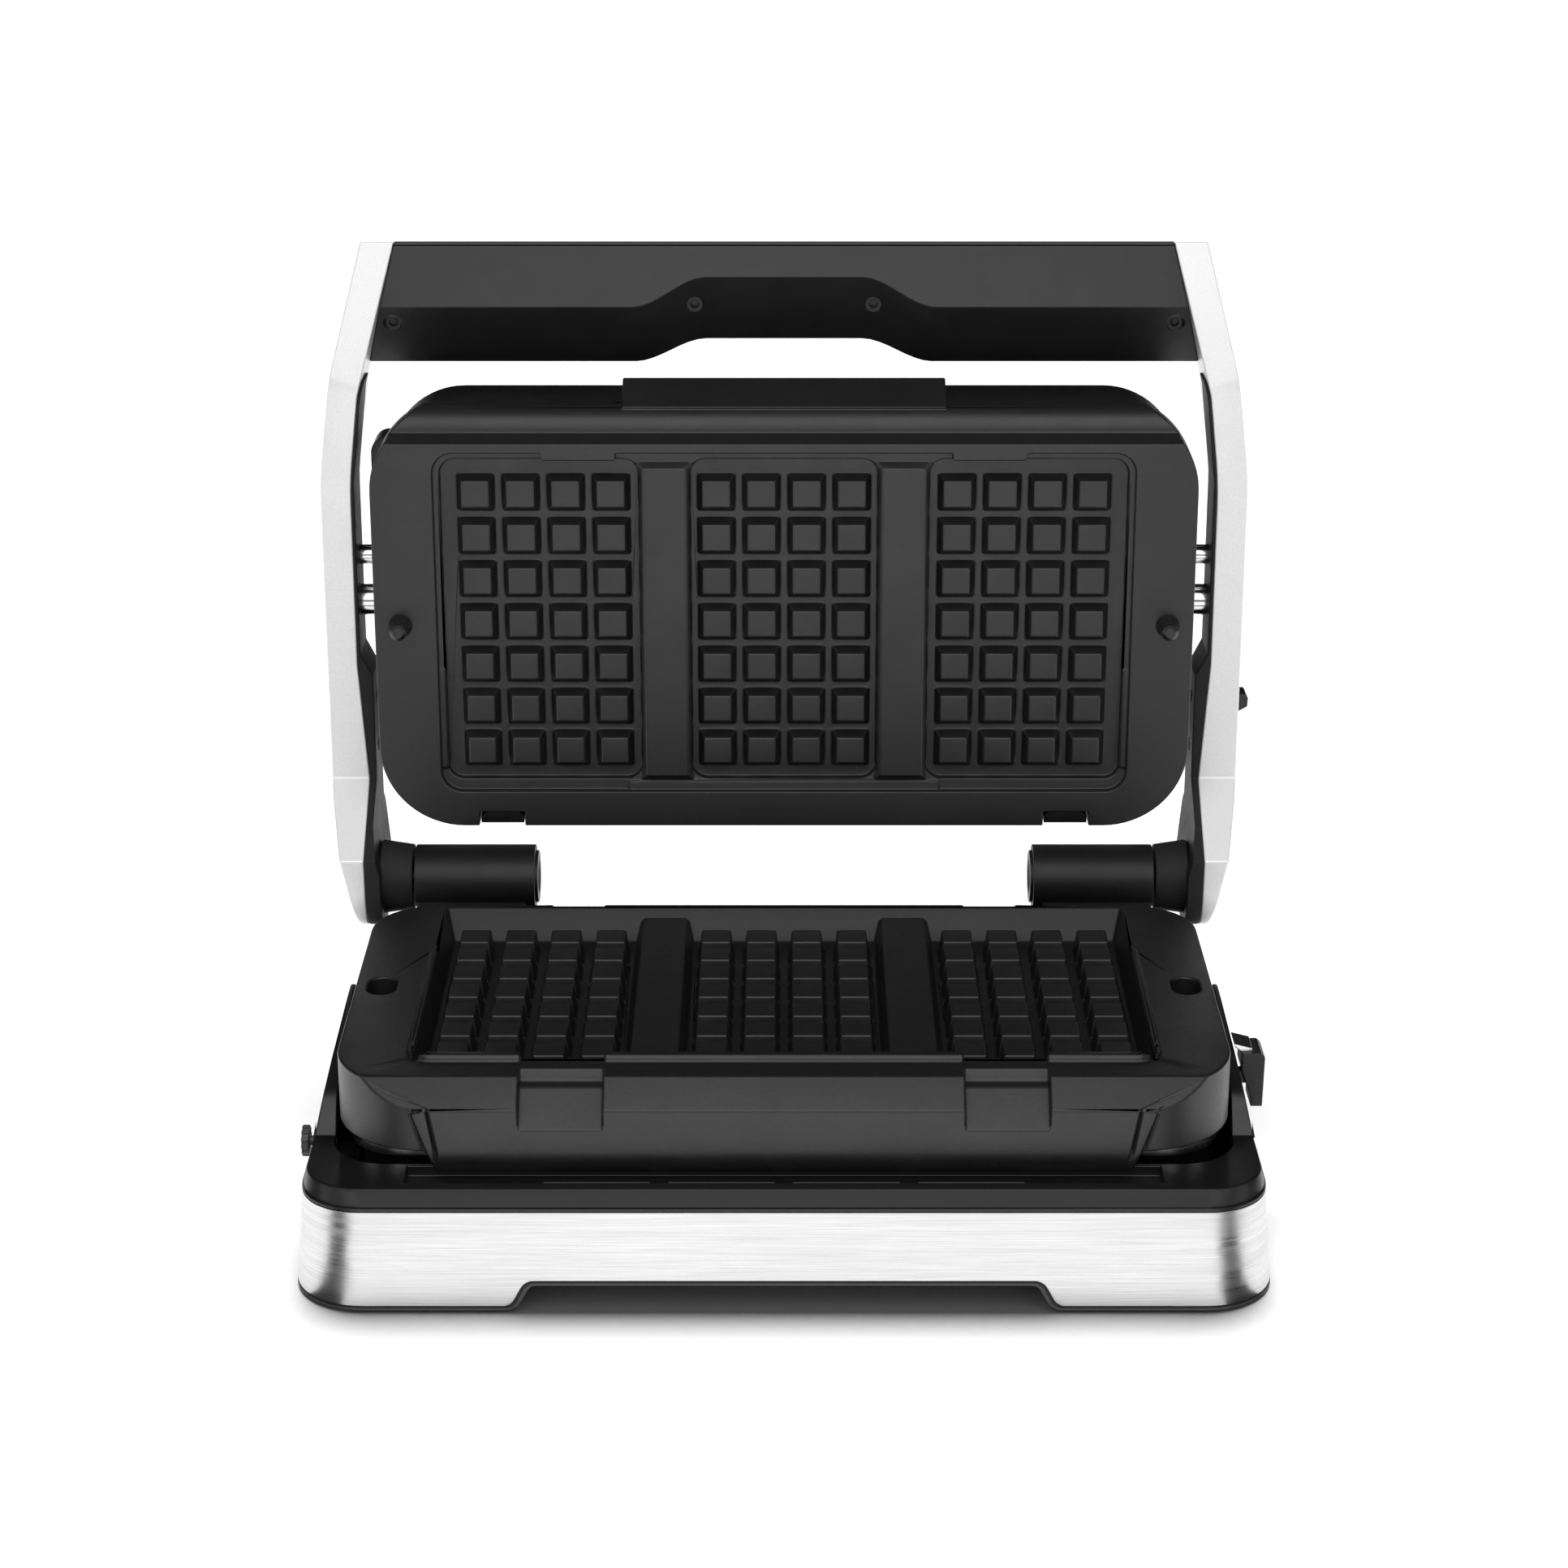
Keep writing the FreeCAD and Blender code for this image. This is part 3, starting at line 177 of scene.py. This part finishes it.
def moulded(name, level, rough, grain=0.012, shine=0.5):
    """Satin moulded plastic: fine spark-eroded grain, in mm, faint flow marks and uneven gloss."""
    g = Graph(name)
    flow = g.noise(22, detail=4)
    cloud = g.noise(140, detail=5, rough=0.6)
    fine = g.noise(3200, detail=2)
    scuffs = g.noise(90, detail=6, rough=0.75, stretch=(1, 4, 1))
    colour = g.blend(g.remap(flow, 0, 1), grey(level * 0.88, 0.02), grey(level * 1.12, 0.02))
    base_gloss = g.remap(cloud, rough - 0.04, rough + 0.04)
    gloss = g.combine("ADD", base_gloss, g.remap(scuffs, 0, 0.05, 0.55, 0.7))
    g.shader.inputs["Specular IOR Level"].default_value = shine
    return g.set(
        Base_Color=colour,
        Roughness=gloss,
        Normal=g.bump(fine, grain, g.bump(cloud, 0.01)),
    )


def non_stick(name):
    """Sprayed non-stick coating on cast metal: orange peel, dull specks and smoother, worn patches."""
    g = Graph(name)
    peel = g.noise(700, detail=3, rough=0.55)
    speck = g.noise(2600, detail=2)
    patch = g.noise(35, detail=5, rough=0.6)
    g.shader.inputs["Specular IOR Level"].default_value = 0.7
    colour = g.blend(g.remap(speck, 0, 1, 0.45, 0.75), grey(0.004, 0.02), grey(0.008, 0.02))
    gloss = g.combine("ADD", g.remap(patch, 0.38, 0.46), g.remap(peel, -0.03, 0.03))
    return g.set(
        Base_Color=colour,
        Roughness=gloss,
        Normal=g.bump(speck, 0.014, g.bump(peel, 0.03)),
    )


def brushed(name, level, rough):
    """Brushed sheet: fine level streaks in tone, gloss and surface, and a few broad smears."""
    g = Graph(name)
    along = (0.3, 0.3, 60)
    streak = g.noise(95, detail=6, rough=0.7, stretch=along)
    long_streak = g.noise(9, detail=4, rough=0.6, stretch=along)
    smear = g.noise(14, detail=3)
    colour = g.blend(g.remap(streak, 0, 1, 0.35, 0.65), grey(level * 0.76), grey(level * 1.08))
    base_gloss = g.remap(long_streak, rough - 0.06, rough + 0.07)
    gloss = g.combine("ADD", base_gloss, g.remap(smear, -0.02, 0.04))
    direction = g.tree.nodes.new("ShaderNodeTangent")
    direction.direction_type = "RADIAL"
    direction.axis = "Z"
    g.shader.inputs["Anisotropic"].default_value = 0.6
    return g.set(
        Base_Color=colour,
        Metallic=1.0,
        Roughness=gloss,
        Tangent=direction.outputs["Tangent"],
        Normal=g.bump(streak, 0.004),
    )


def metal(name, level, rough, warm=0.0):
    """Plain metal with fine scratches and faint smudges, a little yellower where warm is above 0."""
    g = Graph(name)
    smudge = g.noise(60, detail=4, rough=0.6)
    scratches = g.noise(500, detail=5, rough=0.7, stretch=(1, 12, 12))
    tone = (level * (1 + warm), level, level * (1 - warm), 1)
    dull = (tone[0] * 0.9, tone[1] * 0.9, tone[2] * 0.9, 1)
    return g.set(
        Base_Color=g.blend(g.remap(smudge, 0, 1), dull, tone),
        Metallic=1.0,
        Roughness=g.remap(smudge, rough * 0.8, rough * 1.3),
        Normal=g.bump(scratches, 0.003),
    )


def silver_paint(name):
    """Satin silver lacquer on the arms: pale base, fine flake and a thin clear coat."""
    g = Graph(name)
    flake = g.noise(5200, detail=1)
    cloud = g.noise(30, detail=4)
    peel = g.noise(380, detail=2)
    g.shader.inputs["Coat Weight"].default_value = 0.25
    g.shader.inputs["Coat Roughness"].default_value = 0.18
    return g.set(
        Base_Color=g.blend(g.remap(flake, 0, 1, 0.4, 0.7), grey(0.66, 0.01), grey(0.8, 0.01)),
        Metallic=0.35,
        Roughness=g.remap(cloud, 0.3, 0.38),
        Normal=g.bump(flake, 0.004, g.bump(peel, 0.006)),
    )


def lens(name):
    """Clear red moulding of the pilot lamps."""
    g = Graph(name)
    ripple = g.noise(420, detail=2)
    swirl = g.noise(160, detail=3)
    g.shader.inputs["Transmission Weight"].default_value = 0.5
    return g.set(
        Base_Color=g.blend(g.remap(swirl, 0, 1), (0.42, 0.03, 0.015, 1), (0.62, 0.07, 0.03, 1)),
        Roughness=g.remap(ripple, 0.1, 0.2),
        Normal=g.bump(ripple, 0.01),
    )


FINISHES = {
    "steel_band": brushed("brushed_band", 0.76, 0.28),
    "black_plastic": moulded("black_moulding", 0.004, 0.36, shine=0.68),
    "gasket": moulded("gasket_rubber", 0.008, 0.7),
    "pan_plastic": moulded("pan_moulding", 0.04, 0.45),
    "foot_rubber": moulded("foot_rubber", 0.012, 0.75, grain=0.02),
    "screw_steel": metal("blackened_screw", 0.035, 0.35),
    "nonstick": non_stick("non_stick_coating"),
    "pin_steel": metal("polished_pin", 0.8, 0.12),
    "arm_silver": silver_paint("silver_lacquer"),
    "handle_plastic": moulded("handle_moulding", 0.006, 0.36, shine=0.7),
    "lamp_lens": lens("lamp_lens"),
    "reflector_sheet": metal("reflector_sheet", 0.72, 0.22),
    "element_sheath": metal("element_sheath", 0.25, 0.45, warm=0.08),
    "ceramic": moulded("ceramic", 0.72, 0.5),
    "knob_grey": moulded("knob_moulding", 0.04, 0.4),
}
# The liners, the hinge covers and the top panel have a gloss of their own within their slots.
DULL_LINER = moulded("liner_moulding", 0.012, 0.55, shine=0.2)
HINGE_COVER = moulded("hinge_moulding", 0.006, 0.42, shine=0.42)
FINISH_OF = {node: FINISHES[slot] for node, slot in SLOT_OF.items()}
for end in ("left", "right"):
    FINISH_OF[f"arm_liner_{end}"] = DULL_LINER
    FINISH_OF[f"hinge_barrel_{end}"] = HINGE_COVER
    FINISH_OF[f"barrel_cap_{end}"] = HINGE_COVER
FINISH_OF["lid_top_panel"] = brushed("brushed_panel", 0.6, 0.4)


def rounded_mesh(node, radius_mm):
    """The node's mesh, welded at its split corners, with its sharp edges rounded."""
    weld_distance = 0.002 * MM
    sharp_angle = math.radians(24)
    shape = bmesh.new()
    shape.from_mesh(frame["nodes"][node].data)
    bmesh.ops.remove_doubles(shape, verts=shape.verts, dist=weld_distance)
    edges = [e for e in shape.edges if e.is_manifold and e.calc_face_angle(0) > sharp_angle]
    bmesh.ops.bevel(
        shape,
        geom=edges,
        offset=radius_mm * MM,
        offset_type="OFFSET",
        segments=2,
        profile=0.5,
        affect="EDGES",
        clamp_overlap=False,
        loop_slide=False,
        miter_outer="ARC",
    )
    mesh = bpy.data.meshes.new(f"{node}_rounded")
    shape.to_mesh(mesh)
    shape.free()
    mesh.shade_smooth()
    mesh.set_sharp_from_angle(angle=math.radians(50))
    mesh.materials.append(FINISH_OF[node])
    return mesh


def rounded_piece(node, radius_mm):
    """A copy of a CAD node with rounded edges, shown in the node's place."""
    piece = bpy.data.objects.new(f"{node}_rounded", rounded_mesh(node, radius_mm))
    bpy.context.scene.collection.objects.link(piece)
    weights = piece.modifiers.new("even_faces", "WEIGHTED_NORMAL")
    weights.keep_sharp = True
    weights.weight = 80
    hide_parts(node)
    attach(piece, BODY_OF[node])
    return piece


def finish_node(node):
    """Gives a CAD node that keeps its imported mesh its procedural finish."""
    thing = frame["nodes"][node]
    material = FINISH_OF[node]
    if not thing.material_slots:
        thing.data.materials.append(material)
    for place in thing.material_slots:
        place.material = material


def make_floor():
    """A pale studio floor that reaches past every view."""
    half = 5.0
    mesh = bpy.data.meshes.new("floor")
    corners = [(-half, -half, 0), (half, -half, 0), (half, half, 0), (-half, half, 0)]
    mesh.from_pydata(corners, [], [(0, 1, 2, 3)])
    floor = bpy.data.objects.new("floor", mesh)
    bpy.context.scene.collection.objects.link(floor)
    g = Graph("studio_floor")
    tooth = g.noise(240, detail=3)
    mesh.materials.append(g.set(
        Base_Color=g.blend(g.remap(tooth, 0, 1), grey(0.93), grey(0.95)),
        Roughness=g.remap(tooth, 0.75, 0.85),
    ))
    g.shader.inputs["Specular IOR Level"].default_value = 0.1
    return floor


def make_world():
    """Studio surroundings: lighter in front, dark behind, and plain white to the camera."""
    front_strength, back_strength = 0.2, 0.018
    world = bpy.data.worlds.new("studio")
    bpy.context.scene.world = world
    world.use_nodes = True
    tree = world.node_tree
    tree.nodes.clear()
    place = tree.nodes.new("ShaderNodeTexCoord")
    split = tree.nodes.new("ShaderNodeSeparateXYZ")
    fall = tree.nodes.new("ShaderNodeMapRange")
    room = tree.nodes.new("ShaderNodeBackground")
    white = tree.nodes.new("ShaderNodeBackground")
    rays = tree.nodes.new("ShaderNodeLightPath")
    either = tree.nodes.new("ShaderNodeMixShader")
    output = tree.nodes.new("ShaderNodeOutputWorld")
    fall.interpolation_type = "SMOOTHSTEP"
    fall.inputs["From Min"].default_value = -0.6
    fall.inputs["From Max"].default_value = 0.0
    fall.inputs["To Min"].default_value = front_strength
    fall.inputs["To Max"].default_value = back_strength
    tree.links.new(place.outputs["Generated"], split.inputs[0])
    tree.links.new(split.outputs["Y"], fall.inputs["Value"])
    tree.links.new(fall.outputs["Result"], room.inputs["Strength"])
    tree.links.new(rays.outputs["Is Camera Ray"], either.inputs[0])
    tree.links.new(room.outputs["Background"], either.inputs[1])
    tree.links.new(white.outputs["Background"], either.inputs[2])
    tree.links.new(either.outputs["Shader"], output.inputs["Surface"])
    room.inputs["Color"].default_value = (1, 1, 1, 1)
    white.inputs["Color"].default_value = (1, 1, 1, 1)


def aim(thing, place, target):
    thing.location = place
    thing.rotation_euler = (Vector(target) - Vector(place)).to_track_quat("-Z", "Y").to_euler()


def add_sun(name, place, strength, spread):
    """A distant light from the direction of place; spread is its angular width in degrees."""
    light = bpy.data.lights.new(name, "SUN")
    light.energy = strength
    light.angle = math.radians(spread)
    sun = bpy.data.objects.new(name, light)
    bpy.context.scene.collection.objects.link(sun)
    aim(sun, place, (0, 0, 0))
    return sun


def add_softbox(name, place, target, width, height, watts):
    light = bpy.data.lights.new(name, "AREA")
    light.shape = "RECTANGLE"
    light.size = width
    light.size_y = height
    light.energy = watts
    box = bpy.data.objects.new(name, light)
    bpy.context.scene.collection.objects.link(box)
    aim(box, place, target)
    return box


def light_only(light, things, name, wanted=True):
    """Limits a light to some objects, or keeps it off them."""
    group = bpy.data.collections.new(name)
    for thing in things:
        group.objects.link(thing)
    for entry in group.collection_objects:
        entry.light_linking.link_state = "INCLUDE" if wanted else "EXCLUDE"
    light.light_linking.receiver_collection = group


def make_lights(floor, panel):
    """A steep light for the floor and its shadow, soft front light for the object, sky for the panel."""
    middle = (0, 0, 0.15)
    sweep = add_sun("sweep", (0, 0.45, 1), 4.7, 44)
    light_only(sweep, [floor], "lit_by_sweep")
    overhead = add_sun("overhead", (0, -0.25, 1), 2.5, 60)
    overhead.visible_glossy = False
    dome = add_softbox("front_dome", (0, -1.3, 1.25), middle, 3.0, 1.6, 22)
    left = add_softbox("left_softbox", (-1.3, -0.35, 0.55), middle, 0.3, 1.0, 1.1)
    right = add_softbox("right_softbox", (1.3, -0.35, 0.55), middle, 0.3, 1.0, 1.1)
    # Without a sky of its own the steel panel mirrors only the dark when the lid is closed.
    sky = add_sun("panel_sky", (0, 0, 1), 1.8, 170)
    light_only(sky, [panel], "lit_by_panel_sky")
    for light in (overhead, dome, left, right):
        light_only(light, [floor], f"dark_to_{light.name}", wanted=False)


def make_flags():
    """Dark cards off the front corners, lying and then standing, seen only mirrored in the steel."""
    corner_round = 33 * MM
    band_low, band_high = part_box("base_band")
    corner_out, corner_front = band_high[0] - corner_round, band_low[1] + corner_round
    above_floor = 1 * MM
    reach = 0.4
    rise = Vector((0, 0, 0.55))
    near, far = math.radians(27), math.radians(53)
    g = Graph("black_felt")
    felt = g.noise(900, detail=3)
    g.set(
        Base_Color=g.blend(g.remap(felt, 0, 1), grey(0.006), grey(0.012)),
        Roughness=g.remap(felt, 0.85, 0.95),
    )
    for name, side in (("left_flag", -1), ("right_flag", 1)):
        start = Vector((side * corner_out, corner_front, above_floor))
        ends = [start + reach * Vector((side * math.sin(a), -math.cos(a), 0)) for a in (near, far)]
        corners = [start] + ends + [end + rise for end in ends]
        mesh = bpy.data.meshes.new(name)
        mesh.from_pydata(corners, [], [(0, 1, 2), (1, 2, 4, 3)])
        mesh.materials.append(g.material)
        flag = bpy.data.objects.new(name, mesh)
        bpy.context.scene.collection.objects.link(flag)
        flag.visible_camera = False
        flag.visible_diffuse = False
        flag.visible_shadow = False
        flag.visible_transmission = False


def make_camera():
    """The photograph's viewpoint: straight ahead of the front, looking a little down."""
    sensor = 36
    focal_in_frames = 2.253
    data = bpy.data.cameras.new("camera")
    data.sensor_width = sensor
    data.lens = focal_in_frames * sensor
    camera = bpy.data.objects.new("camera", data)
    bpy.context.scene.collection.objects.link(camera)
    tilt_down = math.radians(20.23)
    camera.location = (0, -1.207, 0.588)
    camera.rotation_euler = (math.radians(90) - tilt_down, 0, 0)
    bpy.context.scene.camera = camera


rounded = {}
for node in frame["nodes"]:
    if node in EDGE_RADIUS:
        rounded[node] = rounded_piece(node, EDGE_RADIUS[node])
    else:
        finish_node(node)

make_world()
make_lights(make_floor(), rounded["lid_top_panel"])
make_flags()
make_camera()
bpy.context.scene.view_settings.view_transform = "Standard"
